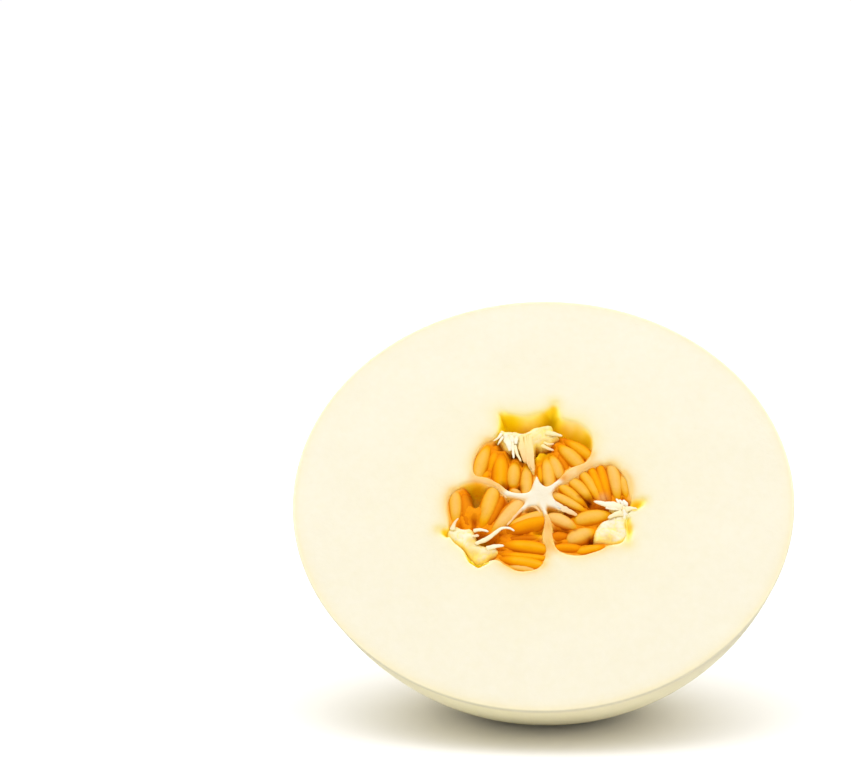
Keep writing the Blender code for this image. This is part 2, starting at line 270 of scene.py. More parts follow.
# How the face's colours spread, in millimetres. The star's arms are their tips and widths
FLESH_BAND = (18, 60)
RIM_BAND = (69.6, 72.2)
HALO_STRENGTH, HALO_UPPER, HALO_UPPER_BAND = 0.6, 0.35, (15, 30)
HALO_MOTTLE, HALO_WIDTH = (0.15, 9.0), 1.8
GLOW_GAP, GLOW_WIDTH = 0.3, 1.2
GLOW_ON_FLESH, GLOW_ON_WALL = 0.75, 0.9
SEPTUM_SHARE, SEPTUM_WIDTHS = 0.85, (2.0, 5.5)
STAR_MIDDLE = (-0.3, -0.4)
STAR_ARMS = (
    ((-1.7, 6.5), 2.2), ((-10.0, -0.2), 1.9), ((4.6, 3.9), 1.9),
    ((5.2, -5.0), 2.2), ((-5.4, -5.2), 2.0), ((1.0, -6.4), 1.4),
)
STAR_TAPER = (1.15, 0.55)
STAR_STRENGTH, STAR_DEPTHS = 1.25, (2.0, 0.6)

# How the walls' colours change with depth, and how far out their inner brown reaches
WALL_STARTS = (0.05, 1.0)
WALL_DEEPENS = (0.3, 1.6)
GLOW_DEPTHS = (6.0, 2.0)
SHELF_DEPTHS = (4.6, 3.0)
INNER_WALL_REACH = 11.0

# A seed's painted light and shade: how far its painted shade goes below its tone, its painted highlight, the
# painted shade at its pith end and in the band at its sides
SEED_SHADE, SEED_HIGHLIGHT = 0.5, 0.75
SEED_LIGHT_FALL = 1.5
SEED_LIGHT_START, SEED_LIGHT_END = (0.06, 0.4), (0.0, 0.14)
SEED_ROOT_SHADE, SEED_ROOT_BAND = 0.2, (0.0, 0.25)
SEED_EDGE_SHARE, SEED_EDGE_BAND, SEED_EDGE_UNDER = 0.9, (0.62, 0.94), -0.05

# The pith's colours: its patches of white, and its painted shade in yellow with depth, in the creases and on
# the strands' undersides, turning orange deeper down
PITH_PATCHES, PITH_PATCH_BAND = 4.0, (-0.5, 0.7)
PITH_YELLOW_BAND, PITH_ROOT_BAND = (0.4, 1.0), (1.4, 3.0)
PITH_CREASE_SHARE = 0.6
STRAND_UNDER_BAND = (0.1, 0.7)

# The rind's colours and its painted light and shade, by depth below the cut and height on the face or off the
# ground, and its scar
EDGE_BAND = (0.0, 0.5)
RIND_BAND = (0.4, 3.0)
BACK_BAND, FRONT_BAND = (3, 18), (-44, -8)
GROUND_BAND, GROUND_DEPTHS = (0.45, 0.85), (0.4, 2.0)
SCAR_RADIUS, SCAR_STRENGTH = 3.2, 0.65
SCAR_RING, SCAR_RING_WIDTH, SCAR_RING_STRENGTH = 5.0, 1.1, 0.25

# Starting numbers of the random draws; each pocket adds its own number
HALO_DRAW = 3
PULP_DRAW = 40
CREASE_DRAW = 60
WAVE_DRAW = 70
PATCH_DRAW = 80
LOBE_DRAW = 100
PITH_DRAW = 200

# What each pocket holds, in millimetres on the cut face:
# - wall and pad: the outlines of the pocket and of its pad of pith
# - seeds: the end at the pith, the round end, width, height of the crest and tone, which is partly painted
#   shade where a seed lies deep
# - holes in the pulp: place, radius and depth, a rise if that is negative
# - shades of the pad, partly the pith's own tint and partly painted shade, and painted light and shade on the
#   seeds and pulp: place, radius and colour
# - strands of the pad, folds of membrane: points, widths and the colours of both ends
# - tufts: the stretches they start from and end at, number of strands, width and colours
TOP_POCKET = {
    "wall": (
        (2.0, 3.0), (4.7, 5.4), (7.8, 9.2), (12.8, 12.0), (14.6, 17.5), (13.6, 22.5), (10.5, 26.0),
        (6.0, 27.4), (4.2, 29.4), (1.2, 30.4), (-5.0, 28.6), (-11.0, 29.2), (-13.2, 29.4), (-13.2, 26.6),
        (-13.6, 22.6), (-15.0, 19.6), (-17.3, 18.3), (-19.5, 14.4), (-20.4, 10.0), (-19.6, 6.6),
        (-16.2, 5.6), (-12.7, 3.6), (-9.8, 1.1), (-6.6, 0.3), (-3.8, 0.9), (-2.5, 4.2), (-1.7, 6.3),
        (-0.8, 4.4), (0.4, 3.1),
    ),
    "pad": (
        (-12.8, 23.2), (-10.4, 22.9), (-8.0, 22.8), (-6.0, 22.4), (-4.4, 23.4), (-3.2, 24.5), (-0.6, 24.9),
        (2.2, 25.2), (2.8, 23.2), (4.2, 21.6), (4.4, 20.8), (3.0, 19.8), (1.6, 17.8), (-0.6, 16.8),
        (-2.2, 17.8), (-2.7, 14.0), (-2.2, 10.6), (-2.4, 7.6), (-3.4, 7.8), (-4.8, 11.6), (-6.2, 15.4),
        (-7.4, 17.4), (-9.0, 16.4), (-10.6, 16.2), (-12.0, 18.4), (-12.8, 21.0),
    ),
    "seeds": (
        ((-16.0, 18.6), (-18.7, 7.6), 4.5, -0.1, 0.6), ((-13.8, 17.2), (-15.6, 8.6), 3.4, -0.7, 0.0),
        ((-15.6, 9.6), (-17.4, 6.2), 3.0, -0.9, 0.0), ((-12.2, 15.6), (-12.1, 3.6), 4.9, 0.1, 0.15),
        ((-8.0, 12.2), (-8.5, 3.2), 4.2, 0.0, 0.6), ((-4.6, 11.0), (-4.4, 1.6), 3.7, -0.1, 0.7),
        ((-1.2, 11.8), (-0.6, 5.0), 2.2, -0.5, 0.1), ((0.7, 13.8), (2.0, 3.2), 4.0, 0.1, 0.7),
        ((2.4, 14.6), (5.4, 6.0), 3.8, 0.0, 0.7), ((4.0, 16.2), (7.2, 9.4), 2.6, -0.8, -0.5),
        ((4.4, 18.4), (10.8, 11.2), 4.4, 0.1, 0.6), ((6.2, 20.4), (13.6, 14.4), 3.8, -0.3, 0.25),
        ((-9.4, 2.2), (-7.9, 1.4), 2.0, -0.4, 0.9),
    ),
    "holes": (
        ((-10.7, 2.5), 1.1, 2.4), ((-6.5, 2.0), 0.9, 2.4), ((-1.8, 14.2), 2.0, -2.6),
        ((-12.2, 17.4), 1.0, 2.0), ((9.4, 20.8), 2.4, 3.0), ((12.8, 17.8), 1.6, 2.4),
        ((5.2, 5.4), 0.9, 0.9), ((-0.6, 3.8), 0.7, 0.8),
    ),
    "shades": (
        ((0.0, 22.6), 3.0, (254, 230, 146)), ((-5.0, 19.0), 3.4, (255, 226, 140)),
        ((-2.6, 14.0), 2.0, (255, 222, 140)), ((-9.6, 22.0), 2.0, (255, 240, 204)),
        ((0.2, 18.2), 1.8, (248, 202, 74)),
    ),
    "painted_light_and_shade": (
        ((-11.2, 3.1), 1.1, (160, 70, 0)), ((-6.5, 2.4), 0.8, (176, 84, 0)),
        ((-0.3, 4.0), 1.0, (146, 76, 6)), ((5.0, 5.2), 0.8, (180, 92, 0)),
        ((-1.9, 13.4), 1.6, (255, 222, 30)), ((0.3, 14.6), 1.4, (228, 178, 0)),
        ((-9.9, 14.0), 0.8, (196, 122, 0)), ((-6.4, 12.2), 1.3, (246, 160, 20)),
        ((-12.0, 17.6), 1.3, (248, 176, 30)),
    ),
    "strands": (
        (((-10.8, 21.6), (-10.6, 19.0), (-10.0, 17.0), (-9.7, 15.0)), (2.0, 2.4, 1.8, 0.6),
         (PITH_CREAM, WHITE)),
        (((-9.2, 19.4), (-8.9, 16.0), (-8.5, 12.2)), (1.3, 1.0, 0.5), (PITH_CREAM, WHITE)),
        (((-8.4, 17.6), (-7.6, 14.2), (-6.3, 11.2)), (1.2, 1.0, 0.5), (PITH_CREAM, PITH_CREAM)),
        (((-12.2, 21.8), (-13.3, 19.8), (-14.8, 18.6)), (1.0, 0.7, 0.3), (WHITE, PITH_CREAM)),
        (((-11.8, 20.6), (-12.8, 18.6), (-13.4, 17.2)), (0.9, 0.6, 0.3), (WHITE, PITH_CREAM)),
        (((0.4, 22.0), (2.8, 21.5), (5.7, 20.7)), (1.9, 1.8, 0.5), (STRAW, PITH_CREAM)),
        (((0.0, 18.6), (1.6, 17.6), (3.3, 17.9)), (1.1, 0.9, 0.4), (STRAW, PINK)),
        (((-0.6, 17.6), (1.2, 16.2), (3.2, 15.4)), (1.2, 1.2, 0.5), (STRAW, PINK)),
    ),
    "folds": (),
    "tufts": (
        (((-7.0, 21.4), (-3.4, 21.8)), ((-5.4, 11.2), (-2.6, 7.4)), 6, 1.6, (STRAW, TAN)),
        (((-11.6, 21.6), (-7.8, 21.0)), ((-11.4, 19.0), (-7.8, 17.2)), 3, 1.4, (PITH_CREAM, WHITE)),
    ),
}
LEFT_POCKET = {
    "wall": (
        (-1.2, -4.8), (-3.6, -4.5), (-5.4, -5.8), (-6.1, -5.2), (-5.0, -3.0), (-7.5, -1.5), (-11.0, -0.6),
        (-13.5, 2.0), (-16.5, 3.2), (-20.0, 4.0), (-24.2, 2.4), (-27.0, -1.8), (-27.3, -6.0),
        (-26.7, -10.4), (-26.9, -13.6), (-25.2, -16.8), (-22.4, -19.6), (-20.4, -22.6), (-17.6, -24.4),
        (-12.8, -23.0), (-9.8, -25.0), (-6.0, -26.8), (-1.2, -26.0), (1.0, -23.2), (1.6, -19.0),
        (0.6, -15.0), (1.0, -10.0), (0.3, -6.4),
    ),
    "pad": (
        (-26.4, -12.2), (-24.8, -11.2), (-22.4, -12.2), (-20.4, -12.0), (-19.2, -13.4), (-18.8, -15.4),
        (-18.0, -16.8), (-16.0, -18.0), (-13.6, -18.4), (-12.2, -19.4), (-12.2, -20.6), (-14.4, -21.6),
        (-15.4, -22.9), (-17.0, -23.8), (-18.4, -23.6), (-19.6, -22.4), (-21.0, -20.4), (-22.4, -18.4),
        (-24.4, -17.2), (-26.2, -15.4), (-26.9, -13.8),
    ),
    "seeds": (
        ((-25.1, -10.4), (-25.7, 0.4), 3.9, -0.2, 0.7), ((-21.2, -12.0), (-23.0, 0.8), 3.4, -0.6, -0.5),
        ((-17.4, -11.4), (-14.3, 1.0), 4.8, 0.2, 0.6), ((-15.8, -11.4), (-11.7, -0.5), 2.4, -0.5, -0.6),
        ((-14.1, -12.8), (-6.5, -2.5), 4.7, 0.1, 1.0), ((-10.0, -10.6), (-0.7, -6.6), 3.4, 0.0, 0.7),
        ((-10.2, -12.8), (-0.1, -9.0), 5.0, 0.2, 0.0), ((-11.2, -15.0), (-1.0, -14.4), 2.8, -1.1, -0.9),
        ((-11.4, -17.0), (0.6, -18.6), 4.3, 0.0, 0.15), ((-12.0, -20.2), (0.8, -21.7), 2.6, -0.2, 0.1),
        ((-11.8, -22.0), (0.0, -24.2), 3.8, 0.0, 0.2), ((-10.0, -24.6), (-2.0, -26.0), 2.6, -0.5, 0.8),
    ),
    "holes": (
        ((-18.4, -0.4), 2.8, 3.6), ((-19.4, -6.2), 2.4, -2.1), ((-12.4, -16.2), 1.4, 0.6),
        ((-6.0, -14.8), 2.4, 0.8), ((-0.4, -12.6), 1.4, 0.6), ((-3.0, -5.6), 1.2, 1.6),
        ((-17.6, -14.4), 1.2, 0.6),
    ),
    "shades": (
        ((-19.0, -21.6), 3.4, (250, 216, 116)), ((-24.6, -14.2), 2.6, (252, 240, 196)),
        ((-13.8, -20.6), 2.4, (253, 228, 172)), ((-19.8, -16.8), 1.6, (248, 214, 134)),
    ),
    "painted_light_and_shade": (
        ((-19.3, -5.6), 2.2, (236, 150, 14)), ((-20.4, -1.4), 1.4, (196, 122, 6)),
        ((-19.4, -9.4), 1.2, (190, 84, 0)), ((-12.4, -16.6), 1.6, (232, 134, 0)),
        ((-0.6, -13.4), 1.4, (252, 188, 0)), ((-10.8, -14.0), 1.2, (214, 110, 0)),
    ),
    "strands": (
        (((-25.6, -13.4), (-25.0, -11.0), (-23.9, -8.9)), (1.6, 0.9, 0.4), (PITH_CREAM, PINK)),
        (((-19.6, -13.4), (-17.4, -13.0), (-15.0, -13.7)), (1.4, 1.2, 0.5), (PITH_CREAM, WHITE)),
        (((-19.0, -18.0), (-15.4, -16.0), (-13.0, -13.9), (-11.2, -12.4), (-9.2, -12.4), (-7.6, -13.3)),
         (1.2, 1.6, 1.2, 0.9, 0.8, 0.4), (PITH_CREAM, WHITE)),
        (((-15.8, -19.5), (-13.0, -18.8), (-10.4, -18.4)), (1.9, 1.5, 0.6), (PITH_CREAM, WHITE)),
    ),
    "folds": (
        (((-4.4, -4.2), (-6.4, -6.0), (-8.4, -8.8), (-10.0, -11.2)), (1.2, 1.1, 0.8, 0.5), (PINK, TAN)),
        (((-4.2, -4.6), (-2.8, -4.3), (-1.2, -5.2), (-0.2, -7.2)), (0.6, 0.7, 0.7, 0.4), (TAN, TAN)),
        (((-13.2, 2.6), (-11.8, 0.8), (-10.2, -1.6)), (0.8, 0.9, 0.4), (PINK, TAN)),
    ),
    "tufts": (
        (((-20.2, -15.2), (-19.0, -16.6)), ((-17.2, -15.0), (-16.6, -16.0)), 1, 1.2, (PITH_CREAM, PINK)),
    ),
}
RIGHT_POCKET = {
    "wall": (
        (3.2, 1.2), (4.6, 3.3), (6.8, 4.0), (10.3, 6.9), (13.7, 9.4), (19.0, 11.0), (22.5, 8.9),
        (24.5, 4.4), (25.6, -0.8), (26.0, -3.0), (25.4, -5.4), (24.2, -8.0), (24.4, -12.0), (23.2, -16.4),
        (19.2, -17.7), (16.2, -19.6), (11.0, -21.2), (6.2, -20.3), (3.8, -17.6), (3.0, -13.0), (2.7, -9.3),
        (1.4, -6.0), (1.6, -4.7), (3.2, -4.7), (5.4, -5.6), (5.6, -4.6), (4.2, -2.6), (3.2, -0.8),
    ),
    "pad": (
        (20.8, -3.4), (22.6, -2.4), (24.4, -3.2), (26.6, -4.6), (25.4, -6.0), (24.7, -8.0), (24.2, -10.4),
        (24.6, -13.0), (24.0, -15.4), (22.0, -16.4), (19.6, -16.8), (17.4, -16.0), (15.4, -16.0),
        (15.1, -13.6), (15.8, -11.4), (17.0, -9.6), (19.0, -8.2), (20.8, -6.6), (19.4, -4.8),
    ),
    "seeds": (
        ((25.0, -0.8), (23.4, 7.2), 3.2, -0.4, 0.6), ((21.8, -1.4), (20.0, 10.0), 3.9, 0.0, 0.8),
        ((19.7, -1.9), (17.0, 9.6), 3.0, 0.0, 0.0), ((18.1, -2.0), (14.4, 8.8), 3.0, 0.0, 0.05),
        ((16.6, -2.0), (11.6, 7.6), 3.3, 0.0, 0.5), ((14.2, -1.8), (8.4, 5.2), 3.6, 0.0, 0.6),
        ((12.6, -3.2), (4.8, 4.2), 3.2, -0.1, 0.5), ((12.8, -5.4), (3.9, 0.0), 3.0, 0.0, 0.7),
        ((5.4, 1.6), (3.9, 0.0), 1.5, -0.9, -0.2), ((20.4, -6.6), (9.5, -8.9), 4.8, 0.2, 0.6),
        ((9.9, -11.3), (3.5, -8.1), 4.0, 0.0, 1.0), ((15.2, -11.8), (7.4, -15.5), 4.8, 0.1, 0.8),
        ((8.4, -13.8), (3.6, -14.3), 3.0, -0.6, -0.6), ((12.8, -18.6), (5.2, -18.4), 3.0, -0.3, -0.1),
        ((18.8, -17.5), (10.0, -19.4), 3.0, -0.2, 0.2),
    ),
    "holes": (
        ((2.6, -6.4), 1.4, 3.0), ((6.6, -12.4), 1.3, 1.6), ((13.2, -2.4), 1.2, 1.6),
        ((14.4, -15.6), 1.2, 1.6), ((4.4, -12.6), 1.0, 1.6), ((19.6, -6.2), 0.8, 1.0),
        ((3.4, 1.0), 0.9, 2.2),
    ),
    "shades": (
        ((16.6, -15.2), 2.0, (255, 234, 160)), ((21.0, -12.0), 3.6, (252, 240, 208)),
        ((19.6, -15.4), 1.7, (248, 212, 128)),
    ),
    "painted_light_and_shade": (
        ((3.5, 0.7), 0.8, (190, 112, 40)), ((13.6, -2.0), 1.5, (138, 46, 0)),
        ((14.2, -15.5), 0.95, (140, 48, 0)), ((11.0, -0.6), 0.7, (184, 84, 0)),
        ((7.6, -12.5), 0.9, (214, 112, 8)), ((9.6, -12.4), 0.7, (190, 96, 6)),
        ((17.6, -0.9), 1.3, (255, 186, 110)), ((12.6, -17.6), 1.0, (250, 164, 20)),
    ),
    "strands": (
        (((23.6, -4.6), (19.2, -3.9), (14.8, -2.6)), (2.8, 2.3, 0.5), (PITH_CREAM, WHITE)),
        (((23.8, -5.4), (25.8, -5.0), (27.6, -5.2)), (2.4, 1.3, 0.4), (PITH_CREAM, PITH_CREAM)),
        (((23.4, -6.4), (21.2, -7.3), (19.0, -8.6)), (2.2, 1.8, 0.8), (PITH_CREAM, PITH_CREAM)),
    ),
    "folds": (
        (((3.0, -2.8), (4.8, -4.2), (7.2, -5.6), (10.4, -7.3)), (2.2, 2.3, 2.0, 0.9), (STAR_WHITE, TAN)),
    ),
    "tufts": (
        (((23.6, -4.2), (23.0, -5.6)), ((18.0, -3.2), (18.4, -4.6)), 2, 1.5, (PITH_CREAM, WHITE)),
        (((22.4, -4.0), (24.6, -4.4)), ((21.5, -1.7), (23.5, -2.1)), 3, 1.0, (WHITE, WHITE)),
    ),
}
POCKETS = {"top": TOP_POCKET, "left": LEFT_POCKET, "right": RIGHT_POCKET}


def linear(rgb):
    """The linear colour, by the sRGB curve, of the thing that looks like this colour in the light."""
    share = np.asarray(rgb, float) / 255
    return np.where(share <= 0.04045, share / 12.92, ((share + 0.055) / 1.055) ** 2.4) * LIGHT_SHARE


def mix(first, second, share):
    """Colours moved from the first towards the second, by a share for each row."""
    return first + (second - first) * np.asarray(share)[..., None]


def ramp(values, stops):
    """Colours for values, between stops of (value, colour)."""
    places = [place for place, colour in stops]
    colours = np.array([linear(colour) for place, colour in stops])
    return np.stack([np.interp(values, places, colours[:, channel]) for channel in range(3)], axis=-1)


def smooth(values, low, high):
    """0 below low, 1 above high, and an even rise between."""
    share = np.clip((values - low) / (high - low), 0, 1)
    return share * share * (3 - 2 * share)


def spot(points, place, radius):
    """1 at a place, falling away to nothing over a radius or so."""
    return np.exp(-np.sum((points - np.array(place)) ** 2, axis=-1) / radius**2)


def spotted(points, tint, spots, lift=1.0, share=SPOT_SHARE):
    """Colours with spots laid over them, each of them a place, a radius and a colour."""
    for place, radius, colour in spots:
        tint = mix(tint, linear(colour) * lift, share * spot(points, place, radius))
    return tint


def ripple(points, size, seed):
    """Smooth irregular waves of about this size, between -1 and 1."""
    draw = np.random.default_rng(seed)
    total = np.zeros(len(points))
    for _ in range(RIPPLE_WAVES):
        direction = draw.normal(size=points.shape[1])
        direction *= 2 * np.pi / size * draw.uniform(*RIPPLE_SPREAD) / np.linalg.norm(direction)
        total += np.sin(points @ direction + draw.uniform(0, 2 * np.pi))
    return total / RIPPLE_LEVEL


def curve_points(before, start, end, after, steps):
    """Points on the smooth stretches from start to end, given the corners before and after them."""
    t = (np.arange(steps) / steps)[None, :, None]
    before, start, end, after = (side[:, None, :] for side in (before, start, end, after))
    bend = 2 * start + (end - before) * t + (2 * before - 5 * start + 4 * end - after) * t**2
    bend = bend + (3 * start - before - 3 * end + after) * t**3
    return (bend / 2).reshape(-1, start.shape[-1])


def loop_through(corners):
    """A closed smooth line through the corners."""
    corners = np.array(corners, float)
    return curve_points(*(np.roll(corners, -shift, axis=0) for shift in (-1, 0, 1, 2)), LOOP_STEPS)


def line_through(corners):
    """An open smooth line through the corners."""
    padded = np.vstack([2 * corners[0] - corners[1], corners, 2 * corners[-1] - corners[-2]])
    line = curve_points(padded[:-3], padded[1:-2], padded[2:-1], padded[3:], STRAND_STEPS)
    return np.vstack([line, corners[-1]])


def segment_gap(points, start, end):
    """Distance of each point from a straight stretch, and where along it the nearest place is."""
    start, end = np.array(start, float), np.array(end, float)
    along = end - start
    share = np.clip((points - start) @ along / (along @ along), 0, 1)
    return np.linalg.norm(points - start - share[:, None] * along, axis=1), share


def reach_inside(points, loop):
    """How far inside a closed line each point is, negative outside."""
    nearest = np.full(len(points), np.inf)
    inside = np.zeros(len(points), bool)
    for start, end in zip(loop, np.roll(loop, -1, axis=0)):
        nearest = np.minimum(nearest, segment_gap(points, start, end)[0])
        if start[1] != end[1]:
            crosses = (start[1] > points[:, 1]) != (end[1] > points[:, 1])
            place = start[0] + (points[:, 1] - start[1]) * (end[0] - start[0]) / (end[1] - start[1])
            inside ^= crosses & (points[:, 0] < place)
    return np.where(inside, nearest, -nearest)


def seed_girth(share):
    """A seed's width along its length, as a share: drawn out at the pith end and round at the other."""
    back = np.clip((SEED_WIDEST - share) / SEED_WIDEST, 0, 1)
    front = np.clip((share - SEED_WIDEST) / (1 - SEED_WIDEST), 0, 1)
    (back_power, back_root), (front_power, front_root) = SEED_PITH_END, SEED_ROUND_END
    return (1 - back**back_power) ** back_root * (1 - front**front_power) ** front_root


def seed_gap(points, seeds):
    """Distance from the edge of the nearest seed, negative over it."""
    first, length = SEED_SHOWN
    nearest = np.full(len(points), np.inf)
    for base, tip, width, crest, tone in seeds:
        gap, share = segment_gap(points, base, tip)
        nearest = np.minimum(nearest, gap - width / 2 * seed_girth(first + length * share))
    return nearest


def to_world(points):
    """Points of the cut face's frame, carried into the part's own."""
    turned = np.array(FACE.to_3x3()) @ points.T
    return (turned + np.array(FACE.translation)[:, None]).T


def add_piece(name, points, faces, tint, materials, chosen, node):
    """A piece of the object, made in the face's frame, that stands for one of the solids."""
    mesh = bpy.data.meshes.new(name)
    mesh.from_pydata(to_world(points).tolist(), [], faces)
    mesh.update()
    colours = np.ones((len(points), 4), np.float32)
    colours[:, :3] = tint
    mesh.attributes.new("tint", "FLOAT_COLOR", "POINT").data.foreach_set("color", colours.ravel())
    for material in materials:
        mesh.materials.append(material)
    mesh.polygons.foreach_set("material_index", np.asarray(chosen, np.int32))
    mesh.shade_smooth()
    piece = bpy.data.objects.new(name, mesh)
    bpy.context.scene.collection.objects.link(piece)
    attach(piece, "root")
    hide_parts(node)


class Shells:
    """Closed shells gathered into one mesh, each with its colours and its material."""

    def __init__(self):
        self.points, self.faces, self.tints, self.chosen = [], [], [], []
        self.count = 0

    def add(self, points, faces, tint, material=0):
        """Gathers one more shell, in the material of that number."""
        self.points.append(points)
        self.tints.append(tint)
        self.faces.extend(tuple(int(index) + self.count for index in face) for face in faces)
        self.chosen.extend([material] * len(faces))
        self.count += len(points)

    def to_piece(self, name, materials, node):
        """Makes a piece of all the shells so far."""
        points, tints = np.vstack(self.points), np.vstack(self.tints)
        add_piece(name, points, self.faces, tints, materials, self.chosen, node)


def tube_faces(rings, sides):
    """Faces of a closed tube: a first pole, rings of equal sides and a last pole."""
    ring = np.arange(rings - 1)[:, None] * sides + 1
    side = np.arange(sides)[None, :]
    after = (side + 1) % sides
    quads = np.stack([ring + side, ring + sides + side, ring + sides + after, ring + after], -1).reshape(-1, 4)
    last = rings * sides + 1
    first_cap = [(0, 1 + s, 1 + (s + 1) % sides) for s in range(sides)]
    last_cap = [(last, last - sides + (s + 1) % sides, last - sides + s) for s in range(sides)]
    return first_cap + quads.tolist() + last_cap


def tube(line, half_width, half_height, sides):
    """A closed tube along a line of points (u, v, w), flattened, with its ends drawn to points."""
    along = np.gradient(line[:, :2], axis=0)
    along /= np.linalg.norm(along, axis=1)[:, None]
    across = np.stack([along[:, 1], -along[:, 0]], axis=-1)
    angle = np.arange(sides) * 2 * np.pi / sides
    level = line[1:-1, None, :].repeat(sides, axis=1)
    level[..., :2] += across[1:-1, None, :] * (half_width[1:-1, None] * np.cos(angle))[..., None]
    level[..., 2] += half_height[1:-1, None] * np.sin(angle)
    points = np.vstack([line[:1], level.reshape(-1, 3), line[-1:]])
    return points, tube_faces(len(line) - 2, sides), angle


def tube_tints(tint):
    """Colours of a tube's points, its two poles included, from those of its rings."""
    return np.vstack([tint[0, :1], tint.reshape(-1, 3), tint[-1, :1]])


def seed_tint(angle, share, tone):
    """Colours round and along a seed: a painted highlight on its crest, and painted shade at its sides,
    underneath and at its pith end.
    """
    side = np.abs(np.cos(angle))[None, :].repeat(len(share), axis=0)
    under = (np.sin(angle) < SEED_EDGE_UNDER)[None, :].repeat(len(share), axis=0)
    along = share[:, None].repeat(len(angle), axis=1)
    # A painted highlight along the crest, and painted shade at the pith end
    light = (1 - side**SEED_LIGHT_FALL) * smooth(along, *SEED_LIGHT_START) * smooth(1 - along, *SEED_LIGHT_END)
    root = SEED_ROOT_SHADE * (1 - smooth(along, *SEED_ROOT_BAND))
    tint = ramp(tone - SEED_SHADE + SEED_HIGHLIGHT * light - root, SEED_STOPS)
    # Painted shade at the sides and underneath
    edge = np.maximum(smooth(side, *SEED_EDGE_BAND), under) * SEED_EDGE_SHARE
    return tube_tints(mix(tint, linear(SEED_SIDE_SHADE), edge)) * SEED_LIFT


def seed_shell(base, tip, width, crest, tone, draw):
    """A seed in its film of pulp: its points, faces and colours."""
    share = (1 - np.cos(np.pi * np.linspace(0, 1, SEED_RINGS + 2))) / 2
    base, tip = base + (base - tip) * SEED_REACH[0], tip + (tip - base) * SEED_REACH[1]
    width = width * SEED_FULLNESS
    length = np.linalg.norm(tip - base)
    across = np.array([tip[1] - base[1], base[0] - tip[0]]) / length
    bend = draw.uniform(-SEED_BEND, SEED_BEND) * length
    thickness = max(SEED_THICKNESS[0], SEED_THICKNESS[1] * width)
    line = np.zeros((SEED_RINGS + 2, 3))
    line[:, :2] = base + (tip - base) * share[:, None] + across * (bend * np.sin(np.pi * share))[:, None]
    line[:, 2] = crest - thickness / 2 - np.where(share < 0.5, *SEED_DROOP) * (2 * share - 1) ** 2
    girth = seed_girth(share)
    points, faces, angle = tube(line, width / 2 * girth, thickness / 2 * girth**SEED_FLATNESS, SEED_SIDES)
    height, size = SEED_BUMPS
    points[:, 2] += height * ripple(points, size, int(draw.integers(1000)))
    return points, faces, seed_tint(angle, share[1:-1], tone)


def strand_shell(corners, widths, colours, level, draw):
    """A fibre or a fold of membrane: its points, faces and colours."""
    line = line_through(np.array([(u, v, level) for u, v in corners]))
    share = np.linspace(0, 1, len(line))
    width = np.interp(share, np.linspace(0, 1, len(widths)), widths)
    waver, size = WIDTH_WAVER
    width *= 1 + waver * ripple(line, size, int(draw.integers(1000)))
    waver, size = LEVEL_WAVER
    arch = STRAND_ARCH * np.sin(0.8 * np.pi * share)
    line[:, 2] += arch + waver * ripple(line, size, int(draw.integers(1000)))
    points, faces, angle = tube(line, width / 2, STRAND_HEIGHT[0] * width + STRAND_HEIGHT[1], STRAND_SIDES)
    inner = share[1:-1]
    tint = mix(linear(colours[0]), linear(colours[1]), inner[:, None].repeat(STRAND_SIDES, axis=1))
    # Painted shade in yellow on the strand's sides and underside, lifted as painted light
    under = (1 - np.sin(angle))[None, :].repeat(len(inner), axis=0) / 2
    tint = mix(tint * PITH_LIFT, linear(YELLOW) * SHADE_LIFT, smooth(under, *STRAND_UNDER_BAND))
    return points, faces, tube_tints(tint)


def tuft_strands(roots, tips, count, width, colours, draw):
    """Fine strands side by side, from one stretch to another, each a little out of line."""
    at_root, at_tip, at_middle = TUFT_SCATTER
    strands = []
    for share in np.linspace(0, 1, count):
        root, tip = (np.array(ends[0]) + (np.array(ends[1]) - ends[0]) * share for ends in (roots, tips))
        root, tip = root + draw.normal(0, at_root, 2), tip + draw.normal(0, at_tip, 2)
        middle = (root + tip) / 2 + draw.normal(0, at_middle, 2)
        full = width * draw.uniform(*TUFT_WIDTHS)
        strands.append(((root, middle, tip), [part * full for part in TUFT_PROFILE], colours))
    return strands


def slab(loop, margin, top):
    """A closed slab over a line's inside and a margin round it. top gives each point its height and colour."""
    low, high = loop.min(axis=0) - margin, loop.max(axis=0) + margin
    us, vs = (np.arange(low[axis], high[axis] + SLAB_STEP, SLAB_STEP) for axis in (0, 1))
    grid = np.stack(np.meshgrid(us, vs, indexing="ij"), axis=-1)
    near = (reach_inside(grid.reshape(-1, 2), loop) > -margin).reshape(grid.shape[:2])
    cells = without_pinches(near[:-1, :-1] & near[1:, :-1] & near[:-1, 1:] & near[1:, 1:])
    index = np.arange(near.size).reshape(near.shape)
    corners = np.stack([index[:-1, :-1], index[1:, :-1], index[1:, 1:], index[:-1, 1:]], axis=-1)[cells]
    used, corners = np.unique(corners, return_inverse=True)
    corners = corners.reshape(-1, 4)
    flat = grid.reshape(-1, 2)[used]
    height, tint = top(flat)
    count = len(flat)
    points = np.vstack([np.column_stack([flat, height]), np.column_stack([flat, np.full(count, SLAB_BOTTOM)])])
    start, end = corners.ravel(), np.roll(corners, -1, axis=1).ravel()
    edge = ~np.isin(start * count + end, end * count + start)
    start, end = start[edge], end[edge]
    sides = np.stack([end, start, start + count, end + count], axis=-1)
    faces = np.vstack([corners, corners[:, ::-1] + count, sides])
    return points, faces.tolist(), np.vstack([tint, tint])


def without_pinches(cells):
    """Cells of a grid, filled in where two of them would meet at a corner only."""
    for _ in range(PINCH_PASSES):
        falling = cells[:-1, :-1] & cells[1:, 1:] & ~cells[1:, :-1] & ~cells[:-1, 1:]
        rising = ~cells[:-1, :-1] & ~cells[1:, 1:] & cells[1:, :-1] & cells[:-1, 1:]
        cells[1:, :-1] |= falling
        cells[:-1, :-1] |= rising
    return cells


